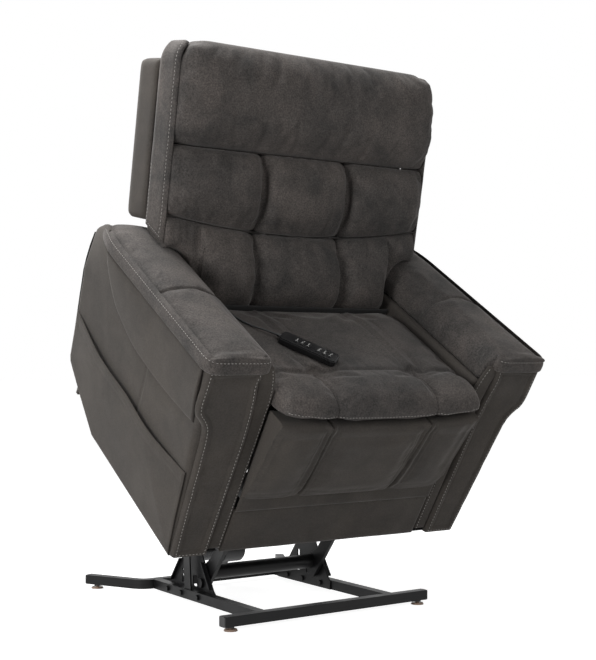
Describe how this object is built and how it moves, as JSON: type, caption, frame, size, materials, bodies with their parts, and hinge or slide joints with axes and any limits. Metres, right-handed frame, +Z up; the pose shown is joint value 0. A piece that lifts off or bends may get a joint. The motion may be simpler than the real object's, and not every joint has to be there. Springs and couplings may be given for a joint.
{
  "type": "lift recliner chair",
  "caption": "Power lift recliner with padded arms, three-row backrest and folding footrest, raised and tilted on a steel lifting base.",
  "frame": {"origin": "centre of the bounding box's bottom face, on the floor", "axes": "+Z up, -Y towards the sitter's front, +X to the sitter's left"},
  "size_m": [1.004, 0.9809, 1.4223],
  "materials": {
    "black_steel": "black powder coat",
    "black_plastic": "moulded",
    "plated_steel": "zinc plated",
    "motor_paint": "satin paint",
    "timber": "plywood and beech",
    "upholstery": "brushed faux suede, charcoal brown",
    "button_plastic": "moulded, white symbols"
  },
  "bodies": {
    "base": {"front_rail": "black_steel", "side_rail_left": "black_steel", "side_rail_right": "black_steel", "rear_rail": "black_steel", "rail_end_caps": "black_plastic", "levelling_feet": "black_plastic", "lift_tower_left": "black_steel", "lift_tower_right": "black_steel", "tower_bolts": "plated_steel", "actuator_base_bracket": "black_steel", "base_pivot_pins": "plated_steel"},
    "lift_arms": {"lift_arm_left": "black_steel", "lift_arm_right": "black_steel", "torque_tube": "black_steel"},
    "control_link_left_body": {"control_link_left": "black_steel"},
    "control_link_right_body": {"control_link_right": "black_steel"},
    "lift_actuator": {"lift_gearbox": "black_plastic", "lift_motor": "motor_paint", "lift_outer_tube": "motor_paint"},
    "lift_rod_body": {"lift_rod": "plated_steel"},
    "recline_rod_body": {"recline_rod": "plated_steel"},
    "backrest": {"back_frame": "black_steel", "back_shell": "upholstery", "back_boxing": "upholstery", "headrest_cushion": "upholstery", "middle_back_cushion": "upholstery", "lumbar_cushion": "upholstery"},
    "footrest_arm_pair": {"footrest_arms": "black_steel"},
    "footrest_link_pair": {"footrest_links": "black_steel"},
    "footrest_board": {"footrest_pad": "upholstery"},
    "button_1": {"handset_button_1": "button_plastic"},
    "button_2": {"handset_button_2": "button_plastic"},
    "button_3": {"handset_button_3": "button_plastic"},
    "button_4": {"handset_button_4": "button_plastic"},
    "button_5": {"handset_button_5": "button_plastic"},
    "button_6": {"handset_button_6": "button_plastic"},
    "chair_body": {"chassis_frame": "black_steel", "chassis_pivot_bolts": "plated_steel", "seat_frame": "timber", "seat_springs": "plated_steel", "seat_cushion": "upholstery", "front_apron": "upholstery", "rear_panel": "upholstery", "control_box": "black_plastic", "arm_frame_left": "timber", "arm_frame_right": "timber", "arm_side_panel_left": "upholstery", "arm_side_panel_right": "upholstery", "arm_front_panel_left": "upholstery", "arm_front_panel_right": "upholstery", "arm_inner_panel_left": "upholstery", "arm_inner_panel_right": "upholstery", "arm_pad_left": "upholstery", "arm_pad_right": "upholstery", "arm_cover_flap_left": "upholstery", "arm_cover_flap_right": "upholstery", "side_pocket": "upholstery", "handset_body": "black_plastic", "handset_cord": "black_plastic", "recline_actuator": "black_plastic"}
  },
  "joints": [
    {"name": "lift", "type": "hinge", "parent": "base", "child": "lift_arms", "pos_m": [0, 0.099, 0.056], "axis": [1, 0, 0], "range_deg": [0, 43.25]},
    {"name": "body_tilt", "type": "hinge", "parent": "lift_arms", "child": "chair_body", "pos_m": [0, -0.09483, 0.29793], "axis": [-1, 0, 0], "range_deg": [0, 75.25]},
    {"name": "control_link_left_swing", "type": "hinge", "parent": "base", "child": "control_link_left_body", "pos_m": [0.192, 0.141, 0.14], "axis": [1, 0, 0], "range_deg": [0, 42.8]},
    {"name": "control_link_right_swing", "type": "hinge", "parent": "base", "child": "control_link_right_body", "pos_m": [-0.192, 0.141, 0.14], "axis": [1, 0, 0], "range_deg": [0, 42.8]},
    {"name": "actuator_swing", "type": "hinge", "parent": "base", "child": "lift_actuator", "pos_m": [0, 0.316, 0.056], "axis": [1, 0, 0], "range_deg": [0, 31.54]},
    {"name": "lift_rod_stroke", "type": "slide", "parent": "lift_actuator", "child": "lift_rod_body", "axis": [0, 0.6852, -0.7283], "range_m": [0, 0.08255]},
    {"name": "recline", "type": "hinge", "parent": "chair_body", "child": "backrest", "pos_m": [0, 0.12104, 0.76959], "axis": [-1, 0, 0], "range_deg": [0, 35]},
    {"name": "recline_rod_stroke", "type": "slide", "parent": "chair_body", "child": "recline_rod_body", "axis": [0, -0.848, -0.5299], "range_m": [0, 0.0632]},
    {"name": "footrest_swing", "type": "hinge", "parent": "chair_body", "child": "footrest_arm_pair", "pos_m": [0, -0.28974, 0.48343], "axis": [-1, 0, 0], "range_deg": [0, 85]},
    {"name": "footrest_link_swing", "type": "hinge", "parent": "footrest_arm_pair", "child": "footrest_link_pair", "pos_m": [0, -0.19701, 0.33502], "axis": [1, 0, 0], "range_deg": [0, 155]},
    {"name": "footrest_board_turn", "type": "hinge", "parent": "footrest_link_pair", "child": "footrest_board", "pos_m": [0, -0.30798, 0.44845], "axis": [-1, 0, 0], "range_deg": [0, 155]},
    {"name": "button_1_press", "type": "slide", "parent": "chair_body", "child": "button_1", "axis": [0, 0.5299, -0.848], "range_m": [0, 0.0012], "stiffness_N_per_m": 700},
    {"name": "button_2_press", "type": "slide", "parent": "chair_body", "child": "button_2", "axis": [0, 0.5299, -0.848], "range_m": [0, 0.0012], "stiffness_N_per_m": 700},
    {"name": "button_3_press", "type": "slide", "parent": "chair_body", "child": "button_3", "axis": [0, 0.5299, -0.848], "range_m": [0, 0.0012], "stiffness_N_per_m": 700},
    {"name": "button_4_press", "type": "slide", "parent": "chair_body", "child": "button_4", "axis": [0, 0.5299, -0.848], "range_m": [0, 0.0012], "stiffness_N_per_m": 700},
    {"name": "button_5_press", "type": "slide", "parent": "chair_body", "child": "button_5", "axis": [0, 0.5299, -0.848], "range_m": [0, 0.0012], "stiffness_N_per_m": 700},
    {"name": "button_6_press", "type": "slide", "parent": "chair_body", "child": "button_6", "axis": [0, 0.5299, -0.848], "range_m": [0, 0.0012], "stiffness_N_per_m": 700}
  ],
  "couplings": [
    {"joint": "body_tilt", "follows": "lift", "ratio": 1.7398},
    {"joint": "control_link_left_swing", "follows": "lift", "ratio": 0.98953},
    {"joint": "control_link_right_swing", "follows": "lift", "ratio": 0.98953},
    {"joint": "actuator_swing", "follows": "lift", "ratio": 0.72917},
    {"joint": "lift_rod_stroke", "follows": "lift", "m_per_rad": 0.10936},
    {"joint": "recline_rod_stroke", "follows": "recline", "m_per_rad": 0.10346},
    {"joint": "footrest_link_swing", "follows": "footrest_swing", "ratio": 1.8235},
    {"joint": "footrest_board_turn", "follows": "footrest_swing", "ratio": 1.8235}
  ]
}
